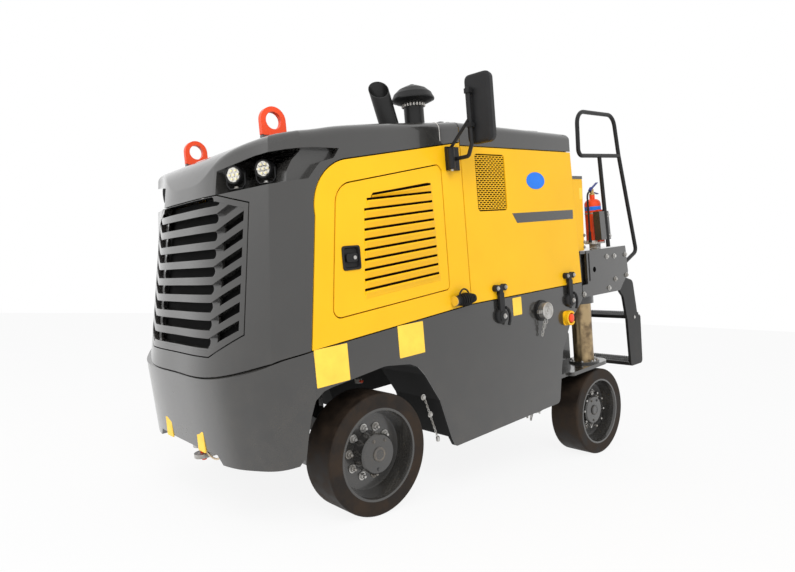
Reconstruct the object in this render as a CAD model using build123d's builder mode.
"""Cold planer milling machine on four solid-tyre wheels, in millimetres.

Every piece is drawn in the body's own frame: +X to the front, +Y to the left, +Z up,
with the origin on the ground under the front axle. The machine parks nose-down on its
raised rear columns, so each piece is tipped by BODY_PITCH about that origin when it is
written. Pieces behind the rear wall are drawn from REAR_X, and move with the wheelbase.
"""

import os
from math import cos, radians, sin

from build123d import *

os.makedirs("parts", exist_ok=True)

# ---------------------------------------------------------------- driving dimensions
WHEELBASE = 2100
BODY_PITCH = 8.3
BODY_WIDTH = 1500
HALF_WIDTH = BODY_WIDTH / 2

TYRE_DIAMETER = 620
TYRE_WIDTH = 215
RIM_DIAMETER = 470
WHEEL_FACE_Y = HALF_WIDTH - 5

TIP = radians(BODY_PITCH)
TYRE_RADIUS = TYRE_DIAMETER / 2


def body_point(ground_x, ground_z):
    """Turns a place beside the ground line into the body's own X and Z."""
    return (
        ground_x * cos(TIP) - ground_z * sin(TIP),
        ground_x * sin(TIP) + ground_z * cos(TIP),
    )


FRONT_X, FRONT_Z = body_point(0, TYRE_RADIUS)
REAR_HUB_X, REAR_HUB_Z = body_point(-WHEELBASE, TYRE_RADIUS)

SEAM_X = -805
REAR_X = REAR_HUB_X + 148
PANEL_LINE_Z = 975
PANEL_LINE_SLOPE = 0.064
ROOF_LINE_Z = 1880
ROOF_SEAM_Z = 2022
ROOF_REAR_Z = 2010
SHOULDER_RADIUS = 45
SKIRT_BOTTOM_Z = 190
SKIRT_THICKNESS = 30
PANEL_THICKNESS = 25
PANEL_GAP = 6
WALL = 22
CORNER_X = 300

DRUM_X = REAR_HUB_X + 73
DRUM_Z = 150
DRUM_WIDTH = 500
DRUM_BODY_DIAMETER = 440
DRUM_CUT_DIAMETER = 560
PICK_ROWS = 12
PICKS_PER_TURN = 6

COLUMN_X = REAR_HUB_X - 27
COLUMN_Y = HALF_WIDTH - 130
COLUMN_DIAMETER = 145
RUNNING_CLEARANCE = 1.0

PLATFORM_FLOOR_Z = 1180
SIDES = (("left", 1), ("right", -1))
finished = []


def finish(piece, label):
    """Names a finished piece and keeps it for writing."""
    piece.part.label = label
    finished.append(piece)


def rounded_outline(corners):
    """Closed outline with rounded corners, each given as x, z and radius."""
    with BuildSketch() as outline:
        Polygon(*[(x, z) for x, z, radius in corners], align=None)
        for x, z, radius in corners:
            if radius:
                fillet(outline.vertices().sort_by_distance((x, z))[0], radius)
    return outline.sketch


def aft(corners):
    """Moves corners given from the rear wall into the body's frame."""
    return [(REAR_X + corner[0], *corner[1:]) for corner in corners]


# ---------------------------------------------------------------- front section form
NOSE_LOW_Z = 900
NOSE_HIGH_Z = 1650
# The nose seen from above, from its middle to its corner with the flat side: x and y at its
# lower level, x and y at its upper level, and the way its wall faces, in degrees off the front.
NOSE_ROWS = (
    (645, 0, 517, 0, 0),
    (632, HALF_WIDTH - 380, 500, HALF_WIDTH - 410, 15),
    (560, HALF_WIDTH - 160, 440, HALF_WIDTH - 185, 28),
    (488, HALF_WIDTH - 45, 408, HALF_WIDTH - 60, 50),
    (CORNER_X, HALF_WIDTH, 262, HALF_WIDTH, 85),
)
BUMPER_LOW_Z = 385
BUMPER_HIGH_Z = 900
BUMPER_ROWS = (
    (645, 0, 675, 0, 0),
    (632, HALF_WIDTH - 360, 662, HALF_WIDTH - 360, 6),
    (602, HALF_WIDTH - 220, 630, HALF_WIDTH - 220, 25),
    (566, HALF_WIDTH - 145, 590, HALF_WIDTH - 145, 35),
    (518, HALF_WIDTH - 70, 535, HALF_WIDTH - 70, 52),
    (430, HALF_WIDTH - 26, 440, HALF_WIDTH - 28, 70),
    (CORNER_X, HALF_WIDTH, CORNER_X, HALF_WIDTH, 85),
)
# Crown of the hood, front to back: x, z.
HOOD_CROWN = ((530, 1600), (512, 1700), (490, 1775), (460, 1838), (408, 1882), (340, 1903),
              (160, 1928), (60, 1945), (-60, 1960), (-300, 1983), (SEAM_X, ROOF_SEAM_Z))
# Lower edge of the hood, from its corner to the middle of the nose: x, z.
HOOD_FOOT = ((CORNER_X, 904), (400, 891), (490, 876), (560, 850), (670, 800))
FORM_FRONT_X = 900
FORM_BOTTOM_Z = 300
FORM_TOP_Z = 2150
FORM_REAR_X = SEAM_X - 200
FORM_REACH_Y = HALF_WIDTH + 150


def wrap_section(rows, low_z, high_z, z, inset):
    """Level section round the front of the machine, with its wall drawn in by inset."""
    rise = (z - low_z) / (high_z - low_z)
    half = []
    for low_x, low_y, high_x, high_y, facing in rows:
        x = low_x + rise * (high_x - low_x) - inset * cos(radians(facing))
        y = low_y + rise * (high_y - low_y) - inset * sin(radians(facing))
        half.append((x, y))
    corner_x, corner_y = half[-1]
    with BuildSketch(Plane.XY.offset(z)) as section:
        with BuildLine():
            front = [(x, -y) for x, y in reversed(half[1:-1])] + half[:-1]
            Spline(*front)
            Polyline(half[-2], half[-1], (FORM_REAR_X, corner_y), (FORM_REAR_X, -corner_y),
                     (corner_x, -corner_y), front[0])
        make_face()
    return section.sketch


def nose_prism(inset, bottom, top):
    """Everything behind the nose's wall, drawn in by inset."""
    levels = [wrap_section(NOSE_ROWS, NOSE_LOW_Z, NOSE_HIGH_Z, z, inset) for z in (bottom, top)]
    with BuildPart() as prism:
        loft(sections=levels, ruled=True)
    return prism.part


def crown_prism(inset):
    """Everything under the hood's crown, seen from the side."""
    crown = [(x - inset, z - inset) for x, z in HOOD_CROWN]
    with BuildPart() as prism:
        with BuildSketch(Plane.XZ):
            with BuildLine():
                Spline(*crown)
                Polyline(crown[-1], (FORM_REAR_X, crown[-1][1]), (FORM_REAR_X, FORM_BOTTOM_Z),
                         (FORM_FRONT_X, FORM_BOTTOM_Z), (FORM_FRONT_X, crown[0][1] - 100), crown[0])
            make_face()
        extrude(amount=FORM_REACH_Y, both=True)
    return prism.part


def foot_prism(drop):
    """Everything below the hood's lower edge, dropped by the gap under it."""
    foot = [(x, z - drop) for x, z in HOOD_FOOT]
    seam_z = PANEL_LINE_Z - drop
    with BuildPart() as prism:
        with BuildSketch(Plane.XZ):
            with BuildLine():
                Spline(*foot)
                Polyline(foot[-1], (FORM_FRONT_X, foot[-1][1]), (FORM_FRONT_X, FORM_BOTTOM_Z),
                         (FORM_REAR_X, FORM_BOTTOM_Z), (FORM_REAR_X, seam_z), (SEAM_X, seam_z), foot[0])
            make_face()
        extrude(amount=FORM_REACH_Y, both=True)
    return prism.part


def lower_edge_z(x):
    """Height of the yellow panels' lower edge, which runs down toward the nose."""
    return PANEL_LINE_Z - PANEL_LINE_SLOPE * (x - SEAM_X)


PANEL_FOOT = (CORNER_X - 2, lower_edge_z(CORNER_X - 2))
PANEL_HEAD = (SEAM_X, 1897)


def front_panel_outline(grow):
    """The yellow front panel's outline, grown by the gap around it."""
    brow = (212, 1520)
    peak = (20, 1783)
    with BuildSketch() as outline:
        with BuildLine():
            Line(PANEL_FOOT, brow)
            ThreePointArc(brow, (150, 1710), peak)
            Polyline(peak, PANEL_HEAD, (SEAM_X, PANEL_LINE_Z), PANEL_FOOT)
        make_face()
        if grow:
            offset(amount=grow, kind=Kind.INTERSECTION)
    return outline.sketch


# Opening of the lamp recess under the brow of the hood, seen from the side: x, z.
RECESS = ((720, 1642), (510, 1664), (232, 1693), (196, 1732), (159, 1769), (80, 1790), (44, 1836),
          (190, 1836), (320, 1827), (406, 1815), (488, 1774), (720, 1660))
# What stands back behind the lamps, seen from the side: x, z.
RECESS_BACK = ((324, 1600), (324, 1690), (317, 1735), (287, 1781), (246, 1818), (190, 1880))
RECESS_INNER_Y = HALF_WIDTH - 415
RECESS_SIDE_DEPTH = 42


def recess_prism(grow):
    """The two lamp recesses, grown by a wall for the box that closes them."""
    back = [(x - grow, z) for x, z in RECESS_BACK]
    with BuildPart() as prism:
        with BuildSketch(Plane.XZ.offset(-RECESS_INNER_Y + grow)):
            Polygon(*RECESS, align=None)
            if grow:
                offset(amount=grow, kind=Kind.INTERSECTION)
        extrude(amount=RECESS_INNER_Y - grow - FORM_REACH_Y)
        mirror(about=Plane.XZ)
        with BuildSketch(Plane.XZ):
            Polygon(*back, (FORM_REAR_X, back[-1][1]), (FORM_REAR_X, back[0][1]), align=None)
        extrude(amount=HALF_WIDTH - RECESS_SIDE_DEPTH - grow, both=True, mode=Mode.SUBTRACT)
    return prism.part


# Window of the grille seen from the front, on its left half: y, z.
GRILLE_WINDOW = ((345, 1662), (HALF_WIDTH - 185, 1604), (HALF_WIDTH - 172, 1010), (365, 905))
GRILLE_SLATS = 9
GRILLE_SLAT_PITCH = 84
GRILLE_SLAT_HEIGHT = 38
GRILLE_FIRST_SLAT_Z = 904
GRILLE_VERTEX_Y = 355
GRILLE_WING_RISE = 0.445
GRILLE_FRAME = 26
GRILLE_DEPTH = 45
GRILLE_WEB = 55


def window_prism(inset):
    """Straight prism through the grille's window."""
    with BuildPart() as prism:
        with BuildSketch(Plane.YZ.offset(CORNER_X)):
            right = [(-y, z) for y, z in GRILLE_WINDOW]
            Polygon(*GRILLE_WINDOW, *reversed(right), align=None)
            if inset:
                offset(amount=-inset, kind=Kind.INTERSECTION)
        extrude(amount=FORM_FRONT_X - CORNER_X)
    return prism.part


EXHAUST_FOOT = (-468, HALF_WIDTH - 197, 1994)
EXHAUST_LEAN = (62, 0, 208)
EXHAUST_RADIUS = 54
CLEANER_X = -610
CLEANER_Y = HALF_WIDTH - 146
CLEANER_NECK_RADIUS = 56
HOLE_CLEARANCE = 9
EYE_X = 222
EYE_Y = HALF_WIDTH - 285
EYE_Z = 2010
EYE_OUTER_RADIUS = 88
EYE_HOLE_RADIUS = 45
EYE_THICKNESS = 28

with BuildPart() as outer:
    add(nose_prism(0, FORM_BOTTOM_Z, FORM_TOP_Z))
    add(crown_prism(0), mode=Mode.INTERSECT)
    shoulders = outer.edges().filter_by(lambda edge: edge.center().Z > 1600 and edge.length > 60)
    fillet(shoulders.filter_by(lambda edge: edge.center().X > FORM_REAR_X + 1), SHOULDER_RADIUS)
hollow = nose_prism(WALL, FORM_BOTTOM_Z, FORM_TOP_Z) & crown_prism(WALL)
box_walls = recess_prism(WALL) & outer.part

with BuildPart() as hood:
    add(outer)
    add(hollow, mode=Mode.SUBTRACT)
    add(box_walls)
    add(recess_prism(0), mode=Mode.SUBTRACT)
    add(foot_prism(0), mode=Mode.SUBTRACT)
    add(window_prism(-PANEL_GAP), mode=Mode.SUBTRACT)
    with Locations((SEAM_X, 0, 1500)):
        Box(400, 2 * FORM_REACH_Y, 1500, align=(Align.MAX, Align.CENTER, Align.CENTER), mode=Mode.SUBTRACT)
    for label, side in SIDES:
        with BuildSketch(Plane.XZ.offset(-side * (HALF_WIDTH + 5))):
            add(front_panel_outline(PANEL_GAP))
        extrude(amount=side * (PANEL_THICKNESS + 15), mode=Mode.SUBTRACT)
    with Locations((EYE_X, EYE_Y, EYE_Z), (EYE_X, -EYE_Y, EYE_Z)):
        Box(2 * EYE_OUTER_RADIUS + 2 * HOLE_CLEARANCE, EYE_THICKNESS + 2 * HOLE_CLEARANCE, 280,
            mode=Mode.SUBTRACT)
    with Locations(EXHAUST_FOOT):
        Cylinder(EXHAUST_RADIUS + HOLE_CLEARANCE, 200, mode=Mode.SUBTRACT)
    with Locations((CLEANER_X, CLEANER_Y, ROOF_SEAM_Z)):
        Cylinder(CLEANER_NECK_RADIUS + HOLE_CLEARANCE, 200, mode=Mode.SUBTRACT)
finish(hood, "hood")

slat_shell = nose_prism(2, 850, 1700) - nose_prism(30, 850, 1700)
with BuildPart() as slats:
    for slat in range(GRILLE_SLATS):
        low = GRILLE_FIRST_SLAT_Z + slat * GRILLE_SLAT_PITCH
        high = low + GRILLE_SLAT_HEIGHT
        rise = GRILLE_WING_RISE * (HALF_WIDTH - GRILLE_VERTEX_Y)
        with BuildSketch(Plane.YZ.offset(CORNER_X)):
            Polygon((GRILLE_VERTEX_Y, low), (HALF_WIDTH, low + rise), (HALF_WIDTH, high + rise),
                    (GRILLE_VERTEX_Y, high), (-GRILLE_VERTEX_Y, high), (-HALF_WIDTH, high + rise),
                    (-HALF_WIDTH, low + rise), (-GRILLE_VERTEX_Y, low), align=None)
        extrude(amount=FORM_FRONT_X - CORNER_X)
grille_slats = slats.part & slat_shell & window_prism(GRILLE_FRAME / 2)

with BuildPart() as grille:
    add((nose_prism(0, 850, 1700) - nose_prism(GRILLE_DEPTH, 850, 1700)) & window_prism(0))
    add(window_prism(GRILLE_FRAME), mode=Mode.SUBTRACT)
    web = (nose_prism(30, 850, 1700) - nose_prism(42, 850, 1700)) & window_prism(GRILLE_FRAME / 2)
    add(web)
    for slat in range(GRILLE_SLATS):
        opening = GRILLE_SLAT_PITCH - GRILLE_SLAT_HEIGHT
        z = GRILLE_FIRST_SLAT_Z + slat * GRILLE_SLAT_PITCH + GRILLE_SLAT_HEIGHT + opening / 2
        with BuildSketch(Plane.YZ.offset(CORNER_X)):
            if z > 960:
                with Locations((0, z)):
                    SlotOverall(2 * (GRILLE_VERTEX_Y - GRILLE_WEB / 2), opening)
            for flip in (1, -1):
                near = GRILLE_VERTEX_Y + GRILLE_WEB / 2
                far = HALF_WIDTH - 185 - GRILLE_FRAME
                lift = GRILLE_WING_RISE * (near - GRILLE_VERTEX_Y)
                reach = GRILLE_WING_RISE * (far - GRILLE_VERTEX_Y)
                if 960 < z + reach < 1610 and z > 960:
                    Polygon((flip * near, z + lift - opening / 2), (flip * far, z + reach - opening / 2),
                            (flip * far, z + reach + opening / 2), (flip * near, z + lift + opening / 2),
                            align=None)
        extrude(amount=FORM_FRONT_X - CORNER_X, mode=Mode.SUBTRACT)
    add(grille_slats)
finish(grille, "grille")

with BuildPart() as mesh:
    add((nose_prism(62, 850, 1700) - nose_prism(70, 850, 1700)) & window_prism(8))
finish(mesh, "grille_mesh")

# ---------------------------------------------------------------- bumper
BUMPER_WALL = 30
BUMPER_NOTCH_Z = 428
# Front wheel arch seen from the side, front foot to rear foot: x, z, radius.
ARCH = ((382, BUMPER_LOW_Z - 5, 0), (358, 501, 0), (332, 603, 0), (305, 671, 25), (257, 703, 25),
        (211, 712, 0), (-123, 746, 160), (-293, 722, 60), (-348, 695, 40), (-394, 642, 40), (-491, 480, 0),
        (-561, 245, 0), (-575, -100, 0), (382, -100, 0))


def bumper_prism(inset):
    """Everything behind the bumper's wall, drawn in by inset."""
    levels = [wrap_section(BUMPER_ROWS, BUMPER_LOW_Z, BUMPER_HIGH_Z, z, inset)
              for z in (BUMPER_LOW_Z, BUMPER_HIGH_Z + 30)]
    with BuildPart() as prism:
        loft(sections=levels, ruled=True)
    return prism.part


with BuildPart() as bumper:
    add(bumper_prism(0) & foot_prism(PANEL_GAP))
    add(bumper_prism(BUMPER_WALL), mode=Mode.SUBTRACT)
    with Locations((CORNER_X, 0, 600)):
        Box(2000, 2 * FORM_REACH_Y, 900, align=(Align.MAX, Align.CENTER, Align.CENTER), mode=Mode.SUBTRACT)
    with BuildSketch(Plane.XZ):
        add(rounded_outline(ARCH))
    extrude(amount=FORM_REACH_Y, both=True, mode=Mode.SUBTRACT)
    with BuildSketch(Plane.XZ):
        Polygon((382, BUMPER_LOW_Z - 40), (382, BUMPER_LOW_Z + 30), (410, BUMPER_LOW_Z),
                (410, BUMPER_LOW_Z - 40), align=None)
    extrude(amount=FORM_REACH_Y, both=True, mode=Mode.SUBTRACT)
    with BuildSketch(Plane.YZ):
        Polygon((-410, BUMPER_LOW_Z - 10), (410, BUMPER_LOW_Z - 10), (360, BUMPER_NOTCH_Z),
                (-360, BUMPER_NOTCH_Z), align=None)
    extrude(amount=FORM_FRONT_X, mode=Mode.SUBTRACT)
finish(bumper, "front_bumper")

# ---------------------------------------------------------------- side skirts with arch liners
LINER = 10
LINER_INNER_Y = HALF_WIDTH - 375
SKIRT_TOP_Z = PANEL_LINE_Z - PANEL_GAP
# Outline of the skirt, front to back and under the rear wheel: x, z, radius.
SKIRT = ((CORNER_X, lower_edge_z(CORNER_X) - PANEL_GAP, 0), (SEAM_X, SKIRT_TOP_Z, 0),
         (REAR_X, SKIRT_TOP_Z, 0), (REAR_X, 862, 0), (REAR_X + 8, 846, 0), (REAR_X + 161, 726, 60),
         (REAR_X + 280, 537, 0), (REAR_X + 317, 371, 0), (REAR_X + 355, SKIRT_BOTTOM_Z, 40),
         (-588, SKIRT_BOTTOM_Z, 25), (-561, 245, 0), (-561, 20, 0), (CORNER_X, 20, 0))

for label, side in SIDES:
    with BuildPart() as skirt:
        with BuildSketch(Plane.XZ.offset(-side * HALF_WIDTH)):
            add(rounded_outline(SKIRT))
            add(rounded_outline(ARCH), mode=Mode.SUBTRACT)
        extrude(amount=side * SKIRT_THICKNESS)
        with BuildSketch(Plane.XZ.offset(-side * (HALF_WIDTH - SKIRT_THICKNESS))) as liner:
            add(rounded_outline(ARCH))
            offset(amount=LINER, kind=Kind.INTERSECTION)
            add(rounded_outline(ARCH), mode=Mode.SUBTRACT)
            with Locations((CORNER_X, 250)):
                Rectangle(860, 600, align=(Align.MAX, Align.MIN), mode=Mode.INTERSECT)
        extrude(amount=side * (HALF_WIDTH - SKIRT_THICKNESS - LINER_INNER_Y))
    finish(skirt, f"side_skirt_{label}")

# ---------------------------------------------------------------- front side panels and doors
LOUVRES = 10
LOUVRE_PITCH = 49.2
LOUVRE_BLADE = 42
LOUVRE_SHEET = 4
LOUVRE_TILT = 25
LOUVRE_SLOPE = 3.3
# Outline of the engine door, and of its louvred field: x, z, radius.
DOOR = ((164, 1030, 40), (80, 1660, 110), (-613, 1768, 25), (-638, 1741, 0), (-634, 1083, 25))
LOUVRE_FIELD = ((-35, 1125, 25), (-130, 1620, 25), (-553, 1676, 25), (-549, 1155, 25))
DOOR_HANDLE = ((92, 1252, 20), (80, 1372, 20), (-32, 1366, 30), (-24, 1252, 30))
DOOR_HANDLE_DEPTH = 15

louvre_blades = {}
for label, side in SIDES:
    with BuildPart() as blades:
        for row in range(LOUVRES):
            z = 1644 - row * LOUVRE_PITCH
            place = Location((-300, side * (HALF_WIDTH - PANEL_THICKNESS / 2), z),
                             (side * LOUVRE_TILT, LOUVRE_SLOPE, 0))
            with Locations(place):
                Box(640, LOUVRE_SHEET, LOUVRE_BLADE)
    with BuildPart() as field:
        with BuildSketch(Plane.XZ.offset(-side * HALF_WIDTH)):
            add(rounded_outline(LOUVRE_FIELD))
            offset(amount=2)
        extrude(amount=side * PANEL_THICKNESS)
    louvre_blades[label] = blades.part & field.part

for label, side in SIDES:
    with BuildPart() as panel:
        with BuildSketch(Plane.XZ.offset(-side * HALF_WIDTH)):
            add(front_panel_outline(0))
            with BuildSketch(mode=Mode.SUBTRACT):
                add(rounded_outline(DOOR))
                offset(amount=PANEL_GAP)
        extrude(amount=side * PANEL_THICKNESS)
    finish(panel, f"front_panel_{label}")

    with BuildPart() as door:
        with BuildSketch(Plane.XZ.offset(-side * HALF_WIDTH)):
            add(rounded_outline(DOOR))
            add(rounded_outline(LOUVRE_FIELD), mode=Mode.SUBTRACT)
        extrude(amount=side * PANEL_THICKNESS)
        with BuildSketch(Plane.XZ.offset(-side * HALF_WIDTH)):
            add(rounded_outline(DOOR_HANDLE))
        extrude(amount=side * DOOR_HANDLE_DEPTH, mode=Mode.SUBTRACT)
        add(louvre_blades[label])
    finish(door, f"engine_door_{label}")

# ---------------------------------------------------------------- rear hood: panels, wall and roof
HOOD_FRONT_X = SEAM_X - PANEL_GAP
HOOD_REAR_TOP_X = REAR_X + 47
VENT_DEPTH = 10
VENT = ((-928, 1842, 20), (-1200, 1842, 20), (-1200, 1505, 20), (-928, 1505, 20))
for label, side in SIDES:
    with BuildPart() as panel:
        with BuildSketch(Plane.XZ.offset(-side * HALF_WIDTH)):
            Polygon((HOOD_FRONT_X, PANEL_LINE_Z), (HOOD_FRONT_X, ROOF_LINE_Z),
                    (HOOD_REAR_TOP_X, ROOF_LINE_Z), (REAR_X, PANEL_LINE_Z), align=None)
        extrude(amount=side * PANEL_THICKNESS)
        with BuildSketch(Plane.XZ.offset(-side * HALF_WIDTH)):
            add(rounded_outline(VENT))
        extrude(amount=side * VENT_DEPTH, mode=Mode.SUBTRACT)
    finish(panel, f"rear_panel_{label}")

INNER_HALF = HALF_WIDTH - PANEL_THICKNESS - PANEL_GAP
ROOF_FOOT_Z = ROOF_LINE_Z + PANEL_GAP
ROOF_WALL = 22
with BuildPart() as roof:
    with BuildSketch(Plane.XZ):
        Polygon((HOOD_FRONT_X, ROOF_FOOT_Z), (HOOD_FRONT_X, ROOF_SEAM_Z),
                (HOOD_REAR_TOP_X, ROOF_REAR_Z), (HOOD_REAR_TOP_X, ROOF_FOOT_Z), align=None)
    extrude(amount=HALF_WIDTH, both=True)
    top_edges = roof.faces().sort_by(Axis.Z)[-1].edges()
    fillet(top_edges.sort_by(Axis.X)[:-1], SHOULDER_RADIUS)
    with BuildSketch(Plane.XZ):
        Polygon((HOOD_FRONT_X - ROOF_WALL, ROOF_FOOT_Z - 20),
                (HOOD_FRONT_X - ROOF_WALL, ROOF_SEAM_Z - ROOF_WALL),
                (HOOD_REAR_TOP_X + ROOF_WALL, ROOF_REAR_Z - ROOF_WALL),
                (HOOD_REAR_TOP_X + ROOF_WALL, ROOF_FOOT_Z - 20), align=None)
    extrude(amount=HALF_WIDTH - ROOF_WALL, both=True, mode=Mode.SUBTRACT)
finish(roof, "roof_cover")

FRAME_TUBE = 50
WALL_FOOT_Z = PANEL_LINE_Z + 5
with BuildPart() as rear_wall:
    with BuildSketch(Plane.XZ):
        Polygon((REAR_X, WALL_FOOT_Z), (HOOD_REAR_TOP_X, ROOF_FOOT_Z),
                (HOOD_REAR_TOP_X + PANEL_THICKNESS, ROOF_FOOT_Z),
                (REAR_X + PANEL_THICKNESS, WALL_FOOT_Z), align=None)
    extrude(amount=INNER_HALF, both=True)
    top_z = ROOF_LINE_Z - 20
    with Locations((HOOD_FRONT_X - 60, 0, top_z)):
        Box(FRAME_TUBE, 2 * INNER_HALF, FRAME_TUBE)
    for side in (1, -1):
        with Locations((HOOD_FRONT_X - 35, side * (INNER_HALF - FRAME_TUBE / 2), top_z)):
            Box(HOOD_FRONT_X - HOOD_REAR_TOP_X - 45, FRAME_TUBE, FRAME_TUBE,
                align=(Align.MAX, Align.CENTER, Align.CENTER))
        with Locations((HOOD_FRONT_X - 60, side * (INNER_HALF - FRAME_TUBE / 2), top_z)):
            Box(FRAME_TUBE, FRAME_TUBE, top_z - 870, align=(Align.CENTER, Align.CENTER, Align.MAX))
finish(rear_wall, "rear_hood_frame")

# ---------------------------------------------------------------- main frame
RAIL_Y = 330
RAIL_Z = 800
RAIL_WIDTH = 80
RAIL_HEIGHT = 140
RAIL_FRONT_X = 450
RAIL_TOP_Z = RAIL_Z + RAIL_HEIGHT / 2
SLEEVE_WALL = 22
SLEEVE_Z = 980
SLEEVE_LENGTH = 360
SHELF_THICKNESS = 12
SHELF_INNER_Y = RAIL_Y + RAIL_WIDTH / 2
SHELF_WIDTH = HALF_WIDTH - SKIRT_THICKNESS - SHELF_INNER_Y
EYE_POST_X = EYE_X - 57
EYE_FOOT_END_Y = EYE_Y - EYE_THICKNESS / 2 - 1
SLEEVE_BOX = (RAIL_Y - 10, COLUMN_Y - 60)
TRUNNION_Z = 430
TRUNNION_RADIUS = 25
with BuildPart() as frame:
    for side in (1, -1):
        with Locations((RAIL_FRONT_X, side * RAIL_Y, RAIL_Z)):
            Box(RAIL_FRONT_X - REAR_X - 125, RAIL_WIDTH, RAIL_HEIGHT,
                align=(Align.MAX, Align.CENTER, Align.CENTER))
        with Locations((COLUMN_X, side * COLUMN_Y, SLEEVE_Z)):
            Cylinder(COLUMN_DIAMETER / 2 + SLEEVE_WALL, SLEEVE_LENGTH)
        with Locations((REAR_X - 15, side * sum(SLEEVE_BOX) / 2, RAIL_Z + 100)):
            Box(360, SLEEVE_BOX[1] - SLEEVE_BOX[0], 160)
        with Locations((COLUMN_X, side * COLUMN_Y, SLEEVE_Z)):
            Cylinder(COLUMN_DIAMETER / 2 + RUNNING_CLEARANCE, 2 * SLEEVE_LENGTH, mode=Mode.SUBTRACT)
        with Locations((-1300, side * (SHELF_INNER_Y + SHELF_WIDTH / 2), RAIL_TOP_Z - SHELF_THICKNESS / 2)):
            Box(1100, SHELF_WIDTH, SHELF_THICKNESS)
        for x in (-1200, -1800):
            with Locations((x, side * (SHELF_INNER_Y + SHELF_WIDTH / 2), RAIL_Z)):
                Box(80, SHELF_WIDTH, 100)
        with Locations((RAIL_FRONT_X - 10, side * (RAIL_Y + 30), 640)):
            Box(30, 400, 220)
        with Locations((EYE_POST_X, side * (RAIL_Y + EYE_FOOT_END_Y) / 2, RAIL_TOP_Z - 30)):
            Box(60, EYE_FOOT_END_Y - RAIL_Y, 60)
        with Locations((EYE_POST_X, side * (EYE_Y - EYE_THICKNESS / 2), RAIL_TOP_Z - 60)):
            Box(60, 40, 880, align=(Align.CENTER, Align.MAX if side > 0 else Align.MIN, Align.MIN))
    for x in (420, -320, -1400, REAR_X + 145):
        with Locations((x, 0, RAIL_Z)):
            Box(80, 2 * RAIL_Y + RAIL_WIDTH, RAIL_HEIGHT)
    with Locations((FRONT_X, 0, 690)):
        Box(240, 2 * RAIL_Y + RAIL_WIDTH, 80)
    for x in (-105, 105):
        with Locations((FRONT_X + x, 0, 520)):
            Box(30, 160, 340)
    with Locations((FRONT_X, 0, TRUNNION_Z)):
        Cylinder(TRUNNION_RADIUS + RUNNING_CLEARANCE, 260, rotation=(0, 90, 0), mode=Mode.SUBTRACT)
finish(frame, "main_frame")

ENGINE_FIN_PITCH = 120
with BuildPart() as engine:
    with Locations((-330, 0, 1130)):
        Box(900, 560, 520)
    with Locations((-330, 0, 1390)):
        Box(760, 300, 340)
    for row in range(6):
        with Locations((-630 + row * ENGINE_FIN_PITCH, 0, 1300)):
            Box(70, 640, 260)
    with Locations((150, 0, 1180)):
        Cylinder(260, 60, rotation=(0, 90, 0))
finish(engine, "engine_block")

with BuildPart() as radiator:
    with Locations((300, 0, 1180)):
        Box(80, 780, 620)
    for y in (-390, 390):
        with Locations((300, y, 1180)):
            Box(100, 40, 660)
finish(radiator, "radiator")

with BuildPart() as tank:
    with Locations((-1420, 0, 1180)):
        Box(760, 2 * (INNER_HALF - FRAME_TUBE - 119), 620)
        fillet(tank.edges().filter_by(Axis.X), 60)
finish(tank, "hydraulic_tank")

# ---------------------------------------------------------------- front axle
KINGPIN_Y = HALF_WIDTH - 350
KINGPIN_RADIUS = 24
STEER_ARM = 190
ARM_Y = KINGPIN_Y + 20
TIE_ROD_Z = 245
STUB_RADIUS = 35
YOKE_Z = 310
with BuildPart() as axle:
    with BuildSketch(Plane.YZ.offset(FRONT_X - 60)):
        Polygon((-KINGPIN_Y + 50, 352), (KINGPIN_Y - 50, 352), (KINGPIN_Y - 50, 420), (140, 452),
                (-140, 452), (-KINGPIN_Y + 50, 420), align=None)
    extrude(amount=120)
    with Locations((FRONT_X, 0, TRUNNION_Z)):
        Cylinder(60, 178, rotation=(0, 90, 0))
        Cylinder(TRUNNION_RADIUS, 250, rotation=(0, 90, 0))
    for side in (1, -1):
        for z in (YOKE_Z + 85, YOKE_Z - 85):
            with Locations((FRONT_X, side * (KINGPIN_Y - 10), z)):
                Box(110, 130, 50)
        with Locations((FRONT_X, side * (KINGPIN_Y - 65), YOKE_Z)):
            Box(110, 30, 220)
        with Locations((FRONT_X, side * KINGPIN_Y, YOKE_Z)):
            Cylinder(KINGPIN_RADIUS, 240)
finish(axle, "front_axle")

for label, side in SIDES:
    with BuildPart() as knuckle:
        with Locations((FRONT_X, side * KINGPIN_Y, YOKE_Z)):
            Cylinder(45, 112)
        with Locations((FRONT_X, side * (KINGPIN_Y + 20), FRONT_Z)):
            Cylinder(STUB_RADIUS, HALF_WIDTH - 75 - KINGPIN_Y - 20, rotation=(-side * 90, 0, 0),
                     align=(Align.CENTER, Align.CENTER, Align.MIN))
        with BuildSketch(Plane.XY.offset(TIE_ROD_Z + 15)):
            Polygon((FRONT_X - 20, side * (ARM_Y - 25)), (FRONT_X - 20, side * (ARM_Y + 35)),
                    (FRONT_X - STEER_ARM - 24, side * (ARM_Y + 22)),
                    (FRONT_X - STEER_ARM - 24, side * (ARM_Y - 22)), align=None)
        extrude(amount=30)
        with Locations((FRONT_X - STEER_ARM, side * ARM_Y, TIE_ROD_Z + 25)):
            Cylinder(14, 70)
        with Locations((FRONT_X, side * KINGPIN_Y, YOKE_Z)):
            Cylinder(KINGPIN_RADIUS + RUNNING_CLEARANCE, 300, mode=Mode.SUBTRACT)
    finish(knuckle, f"knuckle_{label}")

with BuildPart() as tie_rod:
    with Locations((FRONT_X - STEER_ARM, 0, TIE_ROD_Z)):
        Cylinder(14, 2 * ARM_Y, rotation=(90, 0, 0))
    with Locations(*[(FRONT_X - STEER_ARM, side * ARM_Y, TIE_ROD_Z) for side in (1, -1)]):
        Cylinder(26, 24)
        Cylinder(14 + RUNNING_CLEARANCE, 60, mode=Mode.SUBTRACT)
finish(tie_rod, "tie_rod")

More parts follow.
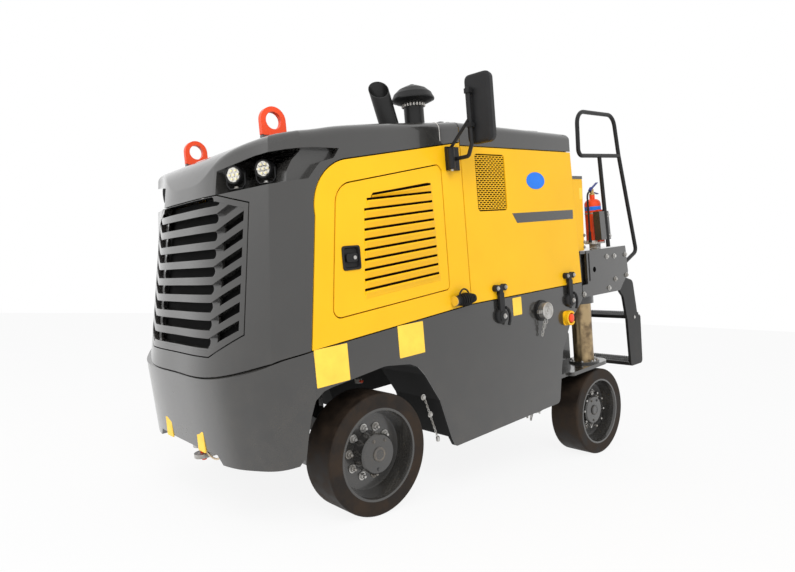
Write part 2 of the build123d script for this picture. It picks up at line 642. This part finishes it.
# ---------------------------------------------------------------- wheels
WHEELS = (("front", FRONT_X, FRONT_Z), ("rear", REAR_HUB_X, REAR_HUB_Z))
TYRE_SHOULDER = 12
RIM_RADIUS = RIM_DIAMETER / 2
HUB_BORE = STUB_RADIUS + RUNNING_CLEARANCE
RIM_DISC_DEPTH = 96
RIM_BARREL = (
    (HUB_BORE, -112), (200, -112), (212, -120), (214, -TYRE_WIDTH), (RIM_RADIUS, -TYRE_WIDTH),
    (RIM_RADIUS, 0), (223, 0), (217, -16), (206, -70), (198, -RIM_DISC_DEPTH),
)
# Hubs from the disc inward and back to the bore: radius, depth from the wheel's face.
HUBS = {
    "front": ((104, -RIM_DISC_DEPTH), (104, -22), (96, -12), (34, -9), (30, -2), (0, -2), (0, -60),
              (HUB_BORE, -60)),
    "rear": ((104, -RIM_DISC_DEPTH), (104, -60), (96, -50), (34, -48), (30, -40), (0, -40), (0, -75),
             (HUB_BORE, -75)),
}

for row, hub_x, hub_z in WHEELS:
    for label, side in SIDES:
        face = Plane(origin=(hub_x, side * WHEEL_FACE_Y, hub_z), x_dir=(1, 0, 0), z_dir=(0, side, 0))
        with BuildPart() as tyre:
            with BuildSketch(face):
                Circle(TYRE_RADIUS)
                Circle(RIM_RADIUS, mode=Mode.SUBTRACT)
            extrude(amount=-TYRE_WIDTH)
            fillet(tyre.edges().filter_by(GeomType.CIRCLE).sort_by(SortBy.RADIUS)[-2:], TYRE_SHOULDER)
        finish(tyre, f"tyre_{row}_{label}")

        section = Plane(origin=face.origin, x_dir=(1, 0, 0), z_dir=(0, 0, side))
        with BuildPart() as rim:
            with BuildSketch(section):
                Polygon(*RIM_BARREL, *HUBS[row], align=None)
            revolve(axis=Axis(face.origin, (0, side, 0)))
        finish(rim, f"rim_{row}_{label}")

# ---------------------------------------------------------------- rear legs and forks
FORK_Z = 332
FORK_PLATE = 26
FORK_FLANGE = 14
LEG_LENGTH = 640
HANGER_Y = HALF_WIDTH - 285
HANGER_THICKNESS = 30
FORK_REACH_Y = HALF_WIDTH - 2
FORK_INSIDE_Y = HALF_WIDTH - SKIRT_THICKNESS - 8
for label, side in SIDES:
    with BuildPart() as leg:
        with Locations((COLUMN_X, side * COLUMN_Y, FORK_Z + FORK_PLATE)):
            Cylinder(COLUMN_DIAMETER / 2, LEG_LENGTH, align=(Align.CENTER, Align.CENTER, Align.MIN))
    finish(leg, f"rear_leg_{label}")

    with BuildPart() as fork:
        with BuildSketch(Plane.XY.offset(FORK_Z)):
            add(rounded_outline([(x, side * y, radius) for x, y, radius in (
                (REAR_HUB_X + 458, HANGER_Y, 0), (REAR_HUB_X + 458, FORK_INSIDE_Y, 50),
                (REAR_HUB_X + 323, FORK_INSIDE_Y, 0), (REAR_HUB_X + 323, FORK_REACH_Y, 20),
                (REAR_HUB_X - 187, FORK_REACH_Y, 90), (REAR_HUB_X - 187, HANGER_Y, 0))]))
        extrude(amount=FORK_PLATE)
        with Locations((COLUMN_X, side * COLUMN_Y, FORK_Z + FORK_PLATE)):
            Cylinder(COLUMN_DIAMETER / 2 + 38, FORK_FLANGE, align=(Align.CENTER, Align.CENTER, Align.MIN))
            Cylinder(COLUMN_DIAMETER / 2 + RUNNING_CLEARANCE, FORK_FLANGE,
                     align=(Align.CENTER, Align.CENTER, Align.MIN), mode=Mode.SUBTRACT)
        with BuildSketch(Plane.XZ.offset(-side * (HANGER_Y + HANGER_THICKNESS))):
            Polygon((REAR_HUB_X - 160, FORK_Z + 5), (REAR_HUB_X + 400, FORK_Z + 5), (REAR_HUB_X + 90, 60),
                    (REAR_HUB_X + 60, -60), (REAR_HUB_X - 60, -60), (REAR_HUB_X - 100, 60), align=None)
        extrude(amount=side * HANGER_THICKNESS)
        with Locations((REAR_HUB_X, side * HANGER_Y, REAR_HUB_Z)):
            Cylinder(STUB_RADIUS, HALF_WIDTH - 88 - HANGER_Y, rotation=(-side * 90, 0, 0),
                     align=(Align.CENTER, Align.CENTER, Align.MIN))
        with Locations((REAR_HUB_X, side * HANGER_Y, REAR_HUB_Z)):
            Cylinder(85, 60, rotation=(side * 90, 0, 0), align=(Align.CENTER, Align.CENTER, Align.MIN))
    finish(fork, f"rear_fork_{label}")

# ---------------------------------------------------------------- milling drum
HOUSING_WALL = 20
HOUSING_HALF = 320
HOUSING = ((-380, 150), (380, 150), (380, 500), (290, 620), (-290, 620), (-380, 500))
LUG_X = -420
LUG_Z = 455
LUG_BORE = 20
with BuildPart() as housing:
    with BuildSketch(Plane.XZ):
        with Locations((DRUM_X, 0)):
            Polygon(*HOUSING, align=None)
    extrude(amount=HOUSING_HALF, both=True)
    with BuildSketch(Plane.XZ):
        with Locations((DRUM_X, 0)):
            Polygon(*HOUSING, align=None)
        offset(amount=-HOUSING_WALL, kind=Kind.INTERSECTION)
        with Locations((DRUM_X, HOUSING[0][1] + HOUSING_WALL)):
            Rectangle(HOUSING[1][0] * 2 - 2 * HOUSING_WALL, 100)
    extrude(amount=DRUM_WIDTH / 2 + 30, both=True, mode=Mode.SUBTRACT)
    for side in (1, -1):
        with Locations((DRUM_X + 230, side * (RAIL_Y - 50), 670)):
            Box(100, 80, 120)
        for x in (-200, 0, 200):
            with Locations((DRUM_X + x, side * (HOUSING_HALF + 8), 330)):
                Box(16, 20, 340)
    with Locations((DRUM_X, 0, DRUM_Z)):
        Cylinder(46, 900, rotation=(90, 0, 0), mode=Mode.SUBTRACT)
    for y in (-200, 200):
        with BuildSketch(Plane.XZ.offset(-y - 20)):
            with Locations((DRUM_X, 0)):
                Polygon((-370, 380), (-370, 520), (LUG_X - 20, LUG_Z + 40), (LUG_X - 45, LUG_Z),
                        (LUG_X - 20, LUG_Z - 40), align=None)
        extrude(amount=40)
    with Locations((DRUM_X + LUG_X, 0, LUG_Z)):
        Cylinder(LUG_BORE, 600, rotation=(90, 0, 0), mode=Mode.SUBTRACT)
finish(housing, "drum_housing")

with BuildPart() as drum:
    with Locations((DRUM_X, 0, DRUM_Z)):
        Cylinder(DRUM_BODY_DIAMETER / 2, DRUM_WIDTH, rotation=(90, 0, 0))
        Cylinder(44, 2 * HOUSING_HALF + 20, rotation=(90, 0, 0))
    for row in range(PICK_ROWS):
        y = (row + 0.5) * DRUM_WIDTH / PICK_ROWS - DRUM_WIDTH / 2
        for pick in range(PICKS_PER_TURN):
            turn = 360 * pick / PICKS_PER_TURN + 37 * row
            root = DRUM_BODY_DIAMETER / 2 - 20
            radial = Plane(
                origin=(DRUM_X + root * cos(radians(turn)), y, DRUM_Z + root * sin(radians(turn))),
                z_dir=(cos(radians(turn)), 0, sin(radians(turn))),
            )
            with Locations(radial.location):
                Cone(17, 7, DRUM_CUT_DIAMETER / 2 - root, align=(Align.CENTER, Align.CENTER, Align.MIN))
finish(drum, "milling_drum")

# ---------------------------------------------------------------- platform
FLOOR_SHEET = 20
SIDE_SHEET = 20
PLATFORM_EDGE_Y = HALF_WIDTH - 5
# Side plate of the platform, drawn from the rear wall: x, z, radius.
PLATFORM_SIDE = ((-8, 862, 12), (-8, 950, 12), (-83, 950, 0), (-83, 1190, 12), (-642, 1190, 15),
                 (-665, 980, 30), (-527, 854, 30))
with BuildPart() as platform:
    with Locations((REAR_X - 8, 0, PLATFORM_FLOOR_Z)):
        Box(637, 2 * PLATFORM_EDGE_Y, FLOOR_SHEET, align=(Align.MAX, Align.CENTER, Align.CENTER))
    with Locations((REAR_X - 625, 0, PLATFORM_FLOOR_Z + FLOOR_SHEET / 2)):
        Box(20, 2 * PLATFORM_EDGE_Y, 190, align=(Align.MAX, Align.CENTER, Align.MAX))
    for side in (1, -1):
        with BuildSketch(Plane.XZ.offset(-side * HALF_WIDTH)):
            add(rounded_outline(aft(PLATFORM_SIDE)))
        extrude(amount=side * SIDE_SHEET)
        with Locations((REAR_X - 110, side * HALF_WIDTH, 1070)):
            Box(20, 12, 200, mode=Mode.SUBTRACT)
finish(platform, "platform")

COLUMN_TOP = (REAR_X - 215, 0, 1860)
COLUMN_LEAN = -30
SHAFT_RADIUS = 16
SHAFT_LENGTH = 220
# Console against the rear wall: x from that wall, z, radius.
CONSOLE = ((5, PLATFORM_FLOOR_Z + 12, 0), (32, 1700, 0), (33, 1722, 0), (-130, 1722, 25), (-135, 1684, 0),
           (-110, PLATFORM_FLOOR_Z + 12, 0))
CONSOLE_WALL = 14
with BuildPart() as console:
    with BuildSketch(Plane.XZ):
        add(rounded_outline(aft(CONSOLE)))
    extrude(amount=HALF_WIDTH - 30, both=True)
    with BuildSketch(Plane.XZ):
        with Locations((REAR_X - 53, PLATFORM_FLOOR_Z)):
            Rectangle(90, 1684 - PLATFORM_FLOOR_Z, align=(Align.CENTER, Align.MIN))
    extrude(amount=HALF_WIDTH - 30 - CONSOLE_WALL, both=True, mode=Mode.SUBTRACT)
    with Locations(Location(COLUMN_TOP, (0, COLUMN_LEAN, 0))):
        Cylinder(SHAFT_RADIUS + RUNNING_CLEARANCE, SHAFT_LENGTH + 20,
                 align=(Align.CENTER, Align.CENTER, Align.MAX), mode=Mode.SUBTRACT)
finish(console, "console")

CUSHION_ROUND = 28
with BuildPart() as seat:
    with BuildPart(mode=Mode.PRIVATE) as cushion:
        with Locations((REAR_X - 425, 0, 1460)):
            Box(360, 460, 90)
        fillet(cushion.edges(), CUSHION_ROUND)
    with BuildPart(mode=Mode.PRIVATE) as back:
        with Locations(Location((REAR_X - 600, 0, 1660), (0, -8, 0))):
            Box(80, 460, 400)
        fillet(back.edges(), CUSHION_ROUND)
    add(cushion.part)
    add(back.part)
    with BuildSketch(Plane.XY.offset(PLATFORM_FLOOR_Z + 12)):
        with Locations((REAR_X - 445, 0)):
            Rectangle(260, 320)
    extrude(amount=240, taper=8)
finish(seat, "seat")

WHEEL_RADIUS = 150
WHEEL_TUBE = 13
with BuildPart() as steering_wheel:
    with Locations(Location(COLUMN_TOP, (0, COLUMN_LEAN, 0))):
        Torus(WHEEL_RADIUS, WHEEL_TUBE)
        Cylinder(36, 24)
        Cylinder(SHAFT_RADIUS, SHAFT_LENGTH, align=(Align.CENTER, Align.CENTER, Align.MAX))
        for turn in (0, 120, 240):
            with Locations(Location((0, 0, 0), (0, 0, turn))):
                Box(WHEEL_RADIUS, 26, 9, align=(Align.MIN, Align.CENTER, Align.CENTER))
finish(steering_wheel, "steering_wheel")

RAIL_TUBE = 15
HANDRAIL_Y = HALF_WIDTH - 37
# Handrail drawn from the rear wall: x, z.
HANDRAIL = ((-409, 1878), (-120, 1870), (-125, 2020), (-130, 2185), (-380, 2187), (-635, 2190),
            (-687, 1890), (-880, 1130), (-656, 1042))
HANDRAIL_STAYS = (((-409, 1878), (-684, 1885)), ((-402, 1866), (-456, 1196)))


def tube_along(route, radius):
    """Round tube swept along a route."""
    with BuildPart() as tube:
        with BuildSketch(Plane(origin=route @ 0, z_dir=route % 0)):
            Circle(radius)
        sweep(path=route)
    return tube.part


for label, side in SIDES:
    y = side * HANDRAIL_Y
    path = [(x, y, z) for x, z in aft(HANDRAIL)]
    with BuildLine() as route:
        FilletPolyline(*path[:3], radius=45)
        FilletPolyline(*path[2:5], radius=95)
        FilletPolyline(path[4], path[5], path[6], radius=95)
        FilletPolyline(path[6], path[7], path[8], radius=45)
    with BuildPart() as handrail:
        add(tube_along(route.line, RAIL_TUBE))
        for low, high in HANDRAIL_STAYS:
            ends = [Vector(x, y, z) for x, z in aft((low, high))]
            with BuildSketch(Plane(origin=ends[0], z_dir=ends[1] - ends[0])):
                Circle(RAIL_TUBE)
            extrude(amount=(ends[1] - ends[0]).length)
    finish(handrail, f"handrail_{label}")

STEP_OUTER_Y = HALF_WIDTH - 32
STEP_INNER_Y = HALF_WIDTH - 490
STEP_SHEET = 20
TREAD_DEPTH = 200
TREAD_BAR = 24
# Hangers of the two steps, drawn from the rear wall: x, z, radius.
STEP_HANGERS = (
    ((-625, 950, 0), (-769, 906, 50), (-819, 618, 20), (-654, 603, 20), (-613, 797, 40), (-555, 850, 30)),
    ((-654, 620, 15), (-865, 620, 25), (-859, 225, 30), (-677, 230, 15)),
)
STEP_TREADS = ((-755, 625), (-755, 250))
with BuildPart() as steps:
    for y in (STEP_OUTER_Y, STEP_INNER_Y):
        for hanger in STEP_HANGERS:
            with BuildSketch(Plane.XZ.offset(-y)):
                add(rounded_outline(aft(hanger)))
            extrude(amount=STEP_SHEET / 2, both=True)
    for x, z in aft(STEP_TREADS):
        for bar in (-1, 0, 1):
            with Locations((x + bar * (TREAD_DEPTH / 2 - 25), (STEP_OUTER_Y + STEP_INNER_Y) / 2, z)):
                Box(44, STEP_OUTER_Y - STEP_INNER_Y, TREAD_BAR)
        for y in (STEP_INNER_Y + 115, STEP_OUTER_Y - 115):
            with Locations((x, y, z - 8)):
                Box(TREAD_DEPTH - 10, 20, 8)
finish(steps, "access_steps")

EXTINGUISHER = (REAR_X - 425, HALF_WIDTH - 130)
with BuildPart() as extinguisher:
    with BuildSketch(Plane.XZ.offset(-EXTINGUISHER[1])):
        with BuildLine():
            body = [(20, 1564), (20, 1600), (14, 1604), (14, 1633), (0, 1633), (0, 1240), (52, 1240),
                    (60, 1250)]
            body = [(EXTINGUISHER[0] + x, z) for x, z in body]
            shoulder = (EXTINGUISHER[0] + 60, 1525)
            Polyline(*body, shoulder)
            ThreePointArc(shoulder, (EXTINGUISHER[0] + 48, 1553), body[0])
        make_face()
    revolve(axis=Axis((*EXTINGUISHER, 0), (0, 0, 1)))
    with Locations((EXTINGUISHER[0] + 18, EXTINGUISHER[1] + 66, 1360)):
        Box(70, 18, 240)
finish(extinguisher, "extinguisher")

# ---------------------------------------------------------------- roof and nose fittings
EXHAUST_WALL = 4
EXHAUST_HIDDEN = 90
EXHAUST_REACH = 340
EXHAUST_MOUTH = (0.527, 0.586, 0.616)
EXHAUST_TIP = (EXHAUST_FOOT[0] + EXHAUST_LEAN[0], EXHAUST_FOOT[1], EXHAUST_FOOT[2] + EXHAUST_LEAN[2])
with BuildPart() as exhaust:
    with BuildSketch(Plane(origin=EXHAUST_FOOT, z_dir=EXHAUST_LEAN)):
        Circle(EXHAUST_RADIUS)
    extrude(amount=EXHAUST_REACH)
    extrude(exhaust.faces().sort_by(Axis.Z)[0], amount=EXHAUST_HIDDEN)
    with BuildSketch(Plane(origin=EXHAUST_FOOT, z_dir=EXHAUST_LEAN)):
        Circle(EXHAUST_RADIUS - EXHAUST_WALL)
    extrude(amount=EXHAUST_REACH, mode=Mode.SUBTRACT)
    split(bisect_by=Plane(origin=EXHAUST_TIP, z_dir=EXHAUST_MOUTH), keep=Keep.BOTTOM)
finish(exhaust, "exhaust_pipe")

# Pre-cleaner bowl turned about its neck: radius, z.
CLEANER = ((0, 1700), (CLEANER_NECK_RADIUS, 1700), (CLEANER_NECK_RADIUS, 2124), (96, 2138), (119, 2150),
           (119, 2158), (106, 2186), (76, 2212), (38, 2228), (0, 2232))
with BuildPart() as precleaner:
    with BuildSketch(Plane.XZ.offset(-CLEANER_Y)):
        Polygon(*[(CLEANER_X + radius, z) for radius, z in CLEANER], align=None)
    revolve(axis=Axis((CLEANER_X, CLEANER_Y, 0), (0, 0, 1)))
finish(precleaner, "air_precleaner")

EYE_LEG_X = (EYE_POST_X - 25, EYE_POST_X + 19)
LAMP_RADIUS = 42
LAMP_STRAP = 5
LAMP_YOKE_HALF = 50
# Lamps on a recess's shelf: x, distance from the middle, z, height of the shelf below.
LAMPS = ((448, 420, 1742, 1672), (366, 560, 1752, 1681))
for label, side in SIDES:
    with BuildPart() as eye:
        with BuildSketch(Plane.XZ.offset(-side * EYE_Y)):
            with Locations((EYE_X, EYE_Z)):
                Circle(EYE_OUTER_RADIUS)
            Polygon((EYE_LEG_X[0], 1560), (EYE_LEG_X[1], 1560), (EYE_LEG_X[1], 1866),
                    (EYE_X + EYE_OUTER_RADIUS - 12, 1925), (EYE_X + EYE_OUTER_RADIUS - 6, EYE_Z),
                    (EYE_LEG_X[0], EYE_Z), align=None)
            with Locations((EYE_X, EYE_Z)):
                Circle(EYE_HOLE_RADIUS, mode=Mode.SUBTRACT)
        extrude(amount=EYE_THICKNESS / 2, both=True)
    finish(eye, f"lifting_eye_{label}")

    with BuildPart() as lamps:
        for x, y, z, shelf in LAMPS:
            with BuildSketch(Plane.XY.offset(z)):
                Polygon(*[(x + depth, side * y + radius) for depth, radius in (
                    (18, 0), (18, LAMP_RADIUS), (-2, LAMP_RADIUS), (-16, LAMP_RADIUS - 5),
                    (-34, LAMP_RADIUS - 18), (-34, 0))], align=None)
            revolve(axis=Axis((x, side * y, z), (1, 0, 0)))
            with BuildSketch(Plane.YZ.offset(x - 12)):
                with Locations((side * y, shelf + 1)):
                    Rectangle(2 * LAMP_YOKE_HALF, z - shelf + 12, align=(Align.CENTER, Align.MIN))
                with Locations((side * y, shelf + 1 + LAMP_STRAP)):
                    Rectangle(2 * (LAMP_YOKE_HALF - LAMP_STRAP), z - shelf + 12,
                              align=(Align.CENTER, Align.MIN), mode=Mode.SUBTRACT)
            extrude(amount=24)
            with Locations((x, side * y, z)):
                Cylinder(7, 2 * LAMP_YOKE_HALF, rotation=(90, 0, 0))
    finish(lamps, f"work_lamps_{label}")

MIRROR_X = -768
MIRROR_Y = HALF_WIDTH + 200
MIRROR_Z = 2046
MIRROR_SIZE = (44, 158, 370)
MIRROR_YAW = 8
MAST_RADIUS = 11
MAST_X = MIRROR_X + 50
MIRROR_FOOT = (-730, HALF_WIDTH + 7, 1800)
mast = (MAST_X, MIRROR_Y - 30)
with BuildLine() as lower_arm:
    FilletPolyline(MIRROR_FOOT, (MIRROR_FOOT[0], MIRROR_Y - 70, 1800), (*mast, 1860), (*mast, 2160),
                   radius=28)
with BuildLine() as upper_arm:
    Line((MIRROR_FOOT[0] + 20, MIRROR_FOOT[1], 1850), (*mast, 2000))
with BuildPart() as mirror_arm:
    add(tube_along(lower_arm.line, MAST_RADIUS))
    add(tube_along(upper_arm.line, MAST_RADIUS - 2))
    with Locations((MIRROR_FOOT[0], HALF_WIDTH, 1805)):
        Box(100, 14, 130, align=(Align.CENTER, Align.MIN, Align.CENTER))
    for z in (1960, 2140):
        with Locations((*mast, z)):
            Box(30, 34, 26)
finish(mirror_arm, "mirror_arm")

with BuildPart() as mirror:
    with Locations(Location((MIRROR_X, MIRROR_Y, MIRROR_Z), (0, 0, MIRROR_YAW))):
        Box(*MIRROR_SIZE)
    fillet(mirror.edges().filter_by(lambda edge: edge.length < MIRROR_SIZE[0] + 1), 38)
    fillet(mirror.faces().sort_by(Axis.X)[-1].edges(), 16)
finish(mirror, "mirror")

LATCH_XS = (-1055, REAR_X + 175)
LATCH_BASE = 12
LATCH_BODY = 28
for label, side in SIDES:
    with BuildPart() as latches:
        for x in LATCH_XS:
            with BuildSketch(Plane.XZ.offset(-side * HALF_WIDTH)):
                with Locations((x, 888)):
                    RectangleRounded(100, 146, 14)
            extrude(amount=-side * LATCH_BASE)
            with BuildSketch(Plane.XZ.offset(-side * HALF_WIDTH)):
                with Locations((x, 884)):
                    RectangleRounded(52, 150, 12)
            extrude(amount=-side * LATCH_BODY)
    finish(latches, f"panel_latches_{label}")

    with BuildPart() as keepers:
        for x in LATCH_XS:
            with BuildSketch(Plane.XZ.offset(-side * HALF_WIDTH)):
                with Locations((x, 1038)):
                    RectangleRounded(100, 100, 14)
            extrude(amount=-side * LATCH_BASE)
            with BuildSketch(Plane.XZ.offset(-side * HALF_WIDTH)):
                with Locations((x, 1030)):
                    RectangleRounded(44, 70, 10)
            extrude(amount=-side * LATCH_BODY)
    finish(keepers, f"latch_keepers_{label}")

FILLER_X = -1474
FILLER_Z = 842
with BuildPart() as filler:
    with Locations((FILLER_X, HALF_WIDTH, FILLER_Z)):
        for radius, depth in ((64, 12), (46, 26), (52, 48)):
            Cylinder(radius, depth, rotation=(-90, 0, 0), align=(Align.CENTER, Align.CENTER, Align.MIN))
        with Locations((0, 30, 0)):
            Box(150, 18, 22)
finish(filler, "filler_coupling")

STOP_X = REAR_X + 210
STOP_Z = 750
with BuildPart() as stop:
    with BuildSketch(Plane.XZ.offset(-HALF_WIDTH)):
        with Locations((STOP_X, STOP_Z)):
            RectangleRounded(104, 104, 16)
    extrude(amount=-8)
    with Locations((STOP_X, HALF_WIDTH, STOP_Z)):
        Cylinder(18, 34, rotation=(-90, 0, 0), align=(Align.CENTER, Align.CENTER, Align.MIN))
        with Locations((0, 30, 0)):
            Cylinder(29, 14, rotation=(-90, 0, 0), align=(Align.CENTER, Align.CENTER, Align.MIN))
finish(stop, "stop_button")

HORN_X = -718
with BuildPart() as horn:
    with Locations((HORN_X, HALF_WIDTH + 30, 1012)):
        Cylinder(22, 160, rotation=(0, 90, 0))
        with Locations((80, 0, 0)):
            Cone(22, 30, 50, rotation=(0, 90, 0), align=(Align.CENTER, Align.CENTER, Align.MAX))
    with Locations((HORN_X, HALF_WIDTH, 1012)):
        Box(90, 30, 50, align=(Align.CENTER, Align.MIN, Align.CENTER))
finish(horn, "horn")

CLEVIS_X = 560
CLEVIS_BORE = 18
CLEVIS_LUGS = (322, 382)
CLEVIS_LUG = 22
with BuildPart() as tow:
    for z in CLEVIS_LUGS:
        with BuildSketch(Plane.XY.offset(z)):
            with Locations((CLEVIS_X, 0)):
                SlotOverall(100, 90)
            with Locations((CLEVIS_X - 40, 0)):
                Rectangle(110, 90)
        extrude(amount=CLEVIS_LUG)
    with Locations((CLEVIS_X - 95, 0, CLEVIS_LUGS[0])):
        Box(30, 110, RAIL_Z - CLEVIS_LUGS[0] - RAIL_HEIGHT / 2, align=(Align.CENTER, Align.CENTER, Align.MIN))
    with Locations((CLEVIS_X, 0, CLEVIS_LUGS[0])):
        Cylinder(CLEVIS_BORE, 300, mode=Mode.SUBTRACT)
finish(tow, "tow_clevis")

# ---------------------------------------------------------------- writing
for piece in finished:
    tipped = piece.part.rotate(Axis.Y, BODY_PITCH)
    tipped.label = piece.part.label
    export_step(tipped, f"parts/{tipped.label}.step")
